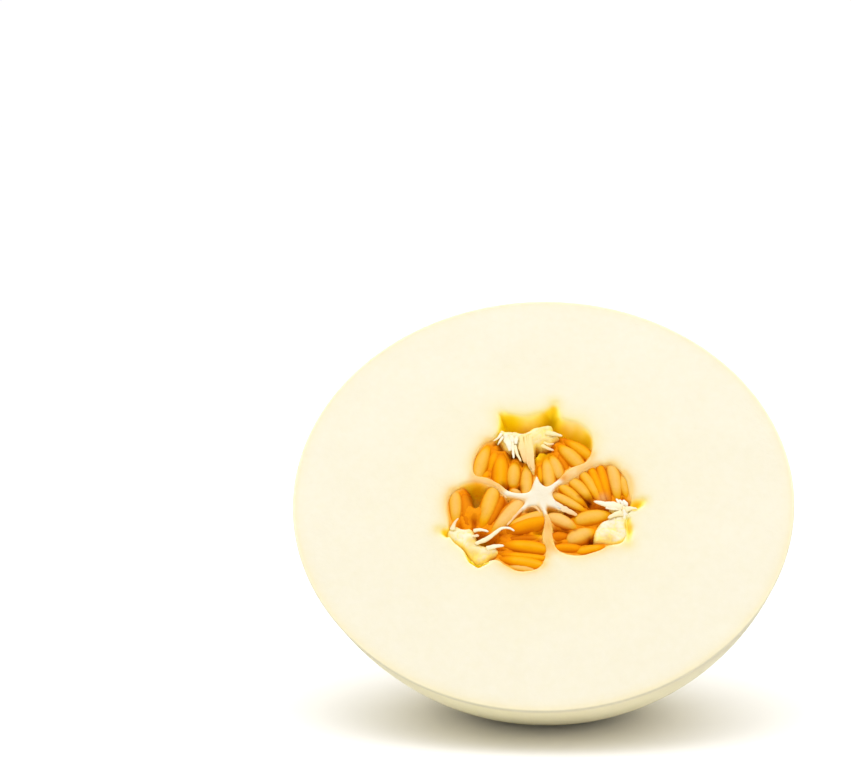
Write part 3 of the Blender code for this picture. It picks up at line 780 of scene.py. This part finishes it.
def rind_radius(from_middle):
    """Radius of the melon at a distance from its middle, with the cut rim at its own radius."""
    def unit(distance):
        share = distance / HALF_LENGTH
        return np.sqrt(np.clip(1 - share * share, 0, None)) * (1 - TAPER * share)

    return RIM_RADIUS * unit(from_middle) / unit(CUT_FROM_MIDDLE)


def face_height(points, reach):
    """Height of the cut face: level, with steep-walled pockets and a soft lip round each."""
    inside = np.logaddexp(0, (reach - POCKET_INSET) / LIP_ROUNDING) * LIP_ROUNDING
    wider = sum(extra * spot(points, place, radius) for place, radius, extra in GENTLE_WALLS)
    depth = POCKET_DEPTH * (1 - np.exp(-inside / (WALL_SLOPE * (1 + wider))))
    for start, end, widths, depths in DIMPLES:
        gap, share = segment_gap(points, start, end)
        dimple = np.interp(share, (0, 1), depths) * np.exp(-((gap / np.interp(share, (0, 1), widths)) ** 2))
        depth = np.maximum(depth, dimple)
    return -depth


def flesh_tint(points, depth, reaches, glow):
    """Colours of the level flesh: cream, yellow round the pockets, tan between them, white in the star."""
    outside = np.sort(-reaches, axis=0)
    radius = np.linalg.norm(points, axis=1)
    tint = mix(linear(CREAM_INNER), linear(CREAM), smooth(radius, *FLESH_BAND))
    tint = mix(tint, linear(CREAM_RIM), smooth(radius, *RIM_BAND))
    mottle, size = HALO_MOTTLE
    strength = HALO_STRENGTH + HALO_UPPER * smooth(points[:, 1], *HALO_UPPER_BAND)
    strength = strength + mottle * ripple(points, size, HALO_DRAW)
    halo = np.exp(-np.clip(outside[0], 0, None) / HALO_WIDTH)
    tint = mix(tint, linear(HALO), np.clip(strength * halo, 0, 1))
    tint = mix(tint, linear(PULP_HALO), GLOW_ON_FLESH * glow)
    thin = 1 - smooth(outside[0] + outside[1], *SEPTUM_WIDTHS)
    tint = spotted(points, mix(tint, linear(SEPTUM_TAN), SEPTUM_SHARE * thin), FLESH_SPOTS)
    full, narrowing = STAR_TAPER
    star = np.zeros(len(points))
    for tip, width in STAR_ARMS:
        gap, share = segment_gap(points, STAR_MIDDLE, tip)
        star = np.maximum(star, np.exp(-((gap / (width * (full - narrowing * share))) ** 2)))
    return mix(tint, linear(STAR_WHITE), np.clip(STAR_STRENGTH * star * smooth(depth, *STAR_DEPTHS), 0, 1))


def wall_tint(points, depth, glow):
    """Colours of the pockets' walls, lifted as painted light: yellow to olive with depth, the olive being
    painted shade, orange by the seeds, brown inside, and marks, some of them painted shade and light.
    """
    radius = np.linalg.norm(points, axis=1)
    wall = ramp(depth, WALL_STOPS) * WALL_LIFT
    wall = mix(wall, linear(INNER_WALL) * WALL_LIFT, np.exp(-((radius / INNER_WALL_REACH) ** 4)))
    beside = mix(linear(PULP_HALO), linear(WALL_ORANGE), smooth(depth, *WALL_DEEPENS))
    wall = mix(wall, beside * WALL_LIFT, GLOW_ON_WALL * glow * smooth(depth, *GLOW_DEPTHS))
    shelf = spot(points, *SHELF) * smooth(depth, *SHELF_DEPTHS)
    wall = mix(wall, linear(SHELF_YELLOW) * WALL_LIFT, shelf)
    # The walls' marks include painted shade and painted light
    return spotted(points, wall, WALL_SPOTS, WALL_LIFT)


def rim_and_rind(angle, circle):
    """Points of the rounded rim and the rind below it, ring by ring, down to the blossom end."""
    turn = np.linspace(0, np.pi / 2, RIM_STEPS + 1)[1:]
    rim = np.stack([RIM_RADIUS - RIM_ROUNDING * (1 - np.sin(turn)), -RIM_ROUNDING * (1 - np.cos(turn))], -1)
    first = np.arcsin((CUT_FROM_MIDDLE + RIM_ROUNDING) / HALF_LENGTH)
    from_middle = HALF_LENGTH * np.sin(np.linspace(first, np.pi / 2, RIND_RINGS + 2)[1:])
    rind = np.stack([rind_radius(from_middle), CUT_FROM_MIDDLE - from_middle], axis=-1)
    profile = np.vstack([rim, rind])
    share = np.clip(-profile[:, 1] / HALF_DEPTH, 0, 1)[:, None]
    change = OVAL_SHARE * np.cos(2 * angle) + LEAN_SHARE * np.cos(angle - LEAN_DIRECTION)
    radius = profile[:, :1] * (1 + 4 * share * (1 - share) * change)
    height = profile[:, 1][:, None, None].repeat(SECTORS, axis=1)
    points = np.concatenate([radius[..., None] * circle, height], axis=-1).reshape(-1, 3)
    return points[: -SECTORS + 1]


def rind_tint(points):
    """Colours of the rind: paler by the cut, with painted shade low at the front, painted light on its back
    and sides, painted bounce light where it faces the ground, and a small scar at the blossom end.
    """
    below = -points[:, 2]
    rind = smooth(below, *RIND_BAND)
    tint = mix(linear(CREAM_RIM), linear(RIND_EDGE), smooth(below, *EDGE_BAND))
    tint = mix(tint, linear(RIND), rind)
    # Painted light on the back and sides; the low front by the cut keeps the darker colour as painted shade
    back = np.maximum(smooth(below, *BACK_BAND), smooth(points[:, 1], *FRONT_BAND)) * rind
    tint = mix(tint, linear(RIND_LIT) * BACK_LIFT, back)
    # Painted bounce light where the rind faces the ground
    lowness = -(points[:, 1] * sin(FACE_TILT) + points[:, 2] * cos(FACE_TILT)) / RIM_RADIUS
    ground = smooth(lowness, *GROUND_BAND) * smooth(below, *GROUND_DEPTHS)
    tint = mix(tint, linear(RIND_BOUNCE_LIGHT) * GROUND_LIFT, ground)
    from_end = np.linalg.norm(points[:, :2], axis=1)
    scar = SCAR_STRENGTH * np.exp(-((from_end / SCAR_RADIUS) ** 4))
    ring = SCAR_RING_STRENGTH * np.exp(-(((from_end - SCAR_RING) / SCAR_RING_WIDTH) ** 2))
    return mix(tint, linear(SCAR), scar + ring)


def settled(points):
    """Lets the rind flatten softly where it rests, so that nothing is below the ground."""
    turn = np.array(FACE.to_3x3()) / MM
    centre = np.array(FACE_CENTRE)[:, None] / MM
    ground = turn @ points.T + centre
    flattened = (ground[2] + np.sqrt(ground[2] ** 2 + SETTLED_EDGE**2)) / 2
    ground[2] = np.where(points[:, 2] < SETTLES_BELOW, flattened, ground[2])
    return (turn.T @ (ground - centre)).T


def make_body(materials):
    """The flesh with its rind, as one closed mesh turned about the middle of the cut face."""
    angle = np.arange(SECTORS) * 2 * np.pi / SECTORS
    circle = np.stack([np.cos(angle), np.sin(angle)], axis=-1)
    radii = np.concatenate([np.arange(RING_GAP, POCKET_REACH, RING_GAP), OUTER_RINGS])
    face = np.vstack([np.zeros((1, 2)), (radii[:, None, None] * circle).reshape(-1, 2)])
    reaches = np.array([reach_inside(face, loop_through(pocket["wall"])) for pocket in POCKETS.values()])
    seeds = [seed for pocket in POCKETS.values() for seed in pocket["seeds"]]
    height = face_height(face, reaches.max(axis=0))
    glow = np.exp(-np.clip(seed_gap(face, seeds) - GLOW_GAP, 0, None) / GLOW_WIDTH)
    flesh, wall = flesh_tint(face, -height, reaches, glow), wall_tint(face, -height, glow)
    outer = rim_and_rind(angle, circle)
    points = settled(np.vstack([np.column_stack([face, height]), outer]))
    tints = np.vstack([mix(flesh, wall, smooth(-height, *WALL_STARTS)), rind_tint(outer)])
    faces = tube_faces(len(radii) + RIM_STEPS + RIND_RINGS, SECTORS)
    chosen = np.zeros(len(faces), np.int32)
    chosen[(len(radii) + RIM_STEPS - RIND_ON_RIM) * SECTORS :] = 1
    add_piece("flesh_and_rind", points, faces, tints, materials, chosen, "melon_half")


def make_lobe(side, pocket, number, materials):
    """One pocket's pulp with the seeds that lie in it."""
    draw = np.random.default_rng(LOBE_DRAW + number)
    seeds, wall = pocket["seeds"], loop_through(pocket["wall"])

    def pulp_top(points):
        gap = seed_gap(points, seeds)
        depth = sum((fall * smooth(gap, *band) for fall, band in PULP_FALLS), PULP_DEPTH)
        hole = sum(extra * spot(points, place, radius) for place, radius, extra in pocket["holes"])
        rise, size = PULP_RIPPLES
        depth += hole + rise * ripple(points, size, PULP_DRAW + number)
        edge = smooth(reach_inside(points, wall), *PULP_BY_WALL) * smooth(gap, *PULP_BY_SEED) * np.exp(-hole)
        depth += (PULP_AT_WALL - depth) * edge
        # Darker orange in the gaps between the seeds as painted shade, all lifted as painted light
        tint = mix(ramp(depth, PULP_STOPS), linear(PULP_EDGE), edge) * PULP_LIFT
        # Painted shadows in the gaps and painted light where the pulp lies in shade, laid over the pulp
        return -np.maximum(depth, PULP_SHALLOWEST), spotted(points, tint, pocket["painted_light_and_shade"], PULP_LIFT)

    shells = Shells()
    shells.add(*slab(wall, PULP_MARGIN, pulp_top))
    for base, tip, width, crest, tone in seeds:
        base, tip = np.array(base), np.array(tip)
        gap = reach_inside(tip[None], wall)[0]
        if 0 < gap < SEED_TO_WALL:
            tip = tip + (tip - base) * (gap + SEED_PAST_WALL) / np.linalg.norm(tip - base)
        points, faces, tint = seed_shell(base, tip, width, crest, tone, draw)
        # The same painted shadows and painted light laid over the seeds
        shells.add(points, faces, spotted(points[:, :2], tint, pocket["painted_light_and_shade"]), material=1)
    shells.to_piece("pulp_and_seeds_" + side, materials, "seeds_" + side)


def make_pith(side, pocket, number, materials):
    """One pocket's pad of pith, with its fibres and the folds of membrane that run on from it."""
    draw = np.random.default_rng(PITH_DRAW + number)
    loop = loop_through(pocket["pad"])
    (edge, steepness), (swell, swell_size) = PAD_SLOPE, PAD_WAVES
    crease_depth, crease_size, crease_width = PAD_CREASES

    def pad_top(points):
        rise = 1 - np.exp(-np.clip(reach_inside(points, loop) + edge, 0, None) / steepness)
        creased = 1 - smooth(np.abs(ripple(points, crease_size, CREASE_DRAW + number)), 0.0, crease_width)
        waves = swell * ripple(points, swell_size, WAVE_DRAW + number)
        height = PAD_FOOT + PAD_RISE * rise + waves - crease_depth * creased
        patches = smooth(ripple(points, PITH_PATCHES, PATCH_DRAW + number), *PITH_PATCH_BAND)
        tint = mix(linear(PITH_CREAM), linear(WHITE), patches)
        # The pad's shades, partly its own tint and partly painted shade, all lifted as painted light
        tint = spotted(points, tint, pocket["shades"], share=1.0) * PITH_LIFT
        # Painted shade: yellow in the creases and where the pad dips, orange deeper down, both lifted as
        # painted light
        shaded = np.maximum(PITH_CREASE_SHARE * creased, smooth(-height, *PITH_YELLOW_BAND))
        tint = mix(tint, linear(YELLOW) * SHADE_LIFT, shaded)
        return height, mix(tint, linear(PITH_ROOT) * SHADE_LIFT, smooth(-height, *PITH_ROOT_BAND))

    shells = Shells()
    shells.add(*slab(loop, PAD_MARGIN, pad_top))
    strands = list(pocket["strands"])
    for tuft in pocket["tufts"]:
        strands += tuft_strands(*tuft, draw)
    for corners, widths, colours in strands:
        shells.add(*strand_shell(corners, widths, colours, STRAND_LEVEL, draw))
    for corners, widths, colours in pocket["folds"]:
        shells.add(*strand_shell(corners, widths, colours, FOLD_LEVEL, draw))
    shells.to_piece("pith_fibres_" + side, materials, "pith_" + side)


def add_noise(nodes, links, scale):
    """A noise texture in the part's own coordinates."""
    place = nodes.new("ShaderNodeTexCoord")
    noise = nodes.new("ShaderNodeTexNoise")
    noise.inputs["Scale"].default_value = scale
    noise.inputs["Detail"].default_value = 4.0
    noise.inputs["Roughness"].default_value = 0.55
    links.new(place.outputs["Object"], noise.inputs["Vector"])
    return noise


def tinted_material(name, roughness, shine, bump, mottle, scatter=(0.0, 0.0)):
    """A material coloured by the mesh's tint.

    The bump is its scale and height, a layer of the mottle its scale and the two colours it multiplies by, and
    the scatter its share and depth.
    """
    material = bpy.data.materials.new(name)
    material.use_nodes = True
    nodes, links = material.node_tree.nodes, material.node_tree.links
    shader = nodes["Principled BSDF"]
    settings = {
        "Roughness": roughness, "Specular IOR Level": shine, "Subsurface Weight": scatter[0],
        "Subsurface Scale": scatter[1] * MM, "Subsurface Radius": (1.0, 0.97, 0.8),
    }
    for socket, value in settings.items():
        shader.inputs[socket].default_value = value
    tint = nodes.new("ShaderNodeAttribute")
    tint.attribute_name = "tint"
    colour = tint.outputs["Color"]
    for scale, *ends in mottle:
        noise = add_noise(nodes, links, scale)
        shades = nodes.new("ShaderNodeValToRGB")
        for element, level, end in zip(shades.color_ramp.elements, (0.3, 0.7), ends):
            element.position = level
            element.color = (*end, 1)
        links.new(noise.outputs["Fac"], shades.inputs["Fac"])
        blend = nodes.new("ShaderNodeMix")
        blend.data_type = "RGBA"
        blend.blend_type = "MULTIPLY"
        blend.inputs["Factor"].default_value = 1.0
        links.new(colour, blend.inputs["A"])
        links.new(shades.outputs["Color"], blend.inputs["B"])
        colour = blend.outputs["Result"]
    links.new(colour, shader.inputs["Base Color"])
    scale, height = bump
    noise = add_noise(nodes, links, scale)
    relief = nodes.new("ShaderNodeBump")
    relief.inputs["Distance"].default_value = height * MM
    relief.inputs["Strength"].default_value = 0.6
    links.new(noise.outputs["Fac"], relief.inputs["Height"])
    links.new(relief.outputs["Normal"], shader.inputs["Normal"])
    return material


def make_materials():
    """The materials of the body, of a lobe and of the pith, in the order of their numbers on the meshes."""
    clear = (1.0, 1.0, 1.0)
    flesh = tinted_material("moist_flesh", 0.5, 0.06, (900, 0.12), (
        (60, (0.985, 0.98, 0.96), clear), (420, (0.985, 0.98, 0.955), clear),
    ), (0.9, 2))
    rind = tinted_material("waxy_rind", 0.48, 0.25, (260, 0.05), (
        (22, (0.965, 0.98, 0.93), (1.0, 0.995, 1.0)), (140, (0.975, 0.98, 0.955), clear),
        (1100, (0.97, 0.97, 0.95), clear),
    ), (0.4, 1.5))
    pulp = tinted_material("wet_pulp", 0.4, 0.02, (1100, 0.2), ((700, (0.86, 0.80, 0.7), clear),))
    seed = tinted_material("wet_seed", 0.36, 0.02, (800, 0.12), (
        (330, (0.95, 0.92, 0.86), clear), (1300, (0.95, 0.93, 0.9), clear),
    ))
    pith = tinted_material("moist_pith", 0.5, 0.08, (1500, 0.25), ((500, (0.96, 0.94, 0.87), clear),))
    return [flesh, rind], [pulp, seed], [pith]


def make_camera():
    """The camera at the photograph's viewing angle."""
    camera = bpy.data.objects.new("camera", bpy.data.cameras.new("camera"))
    camera.data.lens = CAMERA_LENS
    camera.data.sensor_width = CAMERA_SENSOR
    camera.data.sensor_fit = "HORIZONTAL"
    forward, right = CAMERA_FORWARD.normalized(), CAMERA_RIGHT.normalized()
    turn = Matrix((right, right.cross(forward), -forward)).transposed().to_4x4()
    camera.matrix_world = Matrix.Translation(FACE_CENTRE + CAMERA_PLACE) @ turn
    bpy.context.scene.collection.objects.link(camera)
    bpy.context.scene.camera = camera


def make_floor():
    """A wide pale floor at the level of the flat spot."""
    mesh = bpy.data.meshes.new("floor")
    corners = [(x * FLOOR_REACH, y * FLOOR_REACH, 0) for x, y in ((-1, -1), (1, -1), (1, 1), (-1, 1))]
    mesh.from_pydata(corners, [], [(0, 1, 2, 3)])
    floor = bpy.data.objects.new("floor", mesh)
    bpy.context.scene.collection.objects.link(floor)
    paint = bpy.data.materials.new("pale_floor")
    paint.use_nodes = True
    shader = paint.node_tree.nodes["Principled BSDF"]
    shader.inputs["Base Color"].default_value = FLOOR_COLOUR
    shader.inputs["Roughness"].default_value = 0.8
    shader.inputs["Specular IOR Level"].default_value = 0.0
    mesh.materials.append(paint)


def make_light():
    """A white sky, brighter overhead, and one softbox above and in front."""
    world = bpy.data.worlds.new("studio")
    world.use_nodes = True
    nodes, links = world.node_tree.nodes, world.node_tree.links
    place = nodes.new("ShaderNodeTexCoord")
    height = nodes.new("ShaderNodeSeparateXYZ")
    sky = nodes.new("ShaderNodeMapRange")
    sky.interpolation_type = "SMOOTHSTEP"
    for kind, ends in (("From", SKY_HEIGHTS), ("To", SKY_STRENGTHS)):
        sky.inputs[kind + " Min"].default_value, sky.inputs[kind + " Max"].default_value = ends
    links.new(place.outputs["Generated"], height.inputs["Vector"])
    links.new(height.outputs["Z"], sky.inputs["Value"])
    links.new(sky.outputs["Result"], nodes["Background"].inputs["Strength"])
    nodes["Background"].inputs["Color"].default_value = (1, 1, 1, 1)
    bpy.context.scene.world = world
    softbox = bpy.data.objects.new("key", bpy.data.lights.new("key", "AREA"))
    softbox.data.shape = "DISK"
    softbox.data.size = SOFTBOX_SIZE
    softbox.data.energy = SOFTBOX_POWER
    softbox.location = SOFTBOX_PLACE
    aim = Vector(SOFTBOX_AIM) - Vector(SOFTBOX_PLACE)
    softbox.rotation_euler = aim.to_track_quat("-Z", "Y").to_euler()
    bpy.context.scene.collection.objects.link(softbox)
    bpy.context.scene.view_settings.view_transform = "Standard"


make_camera()
make_floor()
make_light()
body_materials, lobe_materials, pith_materials = make_materials()
make_body(body_materials)
for number, (side, pocket) in enumerate(POCKETS.items()):
    make_lobe(side, pocket, number, lobe_materials)
    make_pith(side, pocket, number, pith_materials)
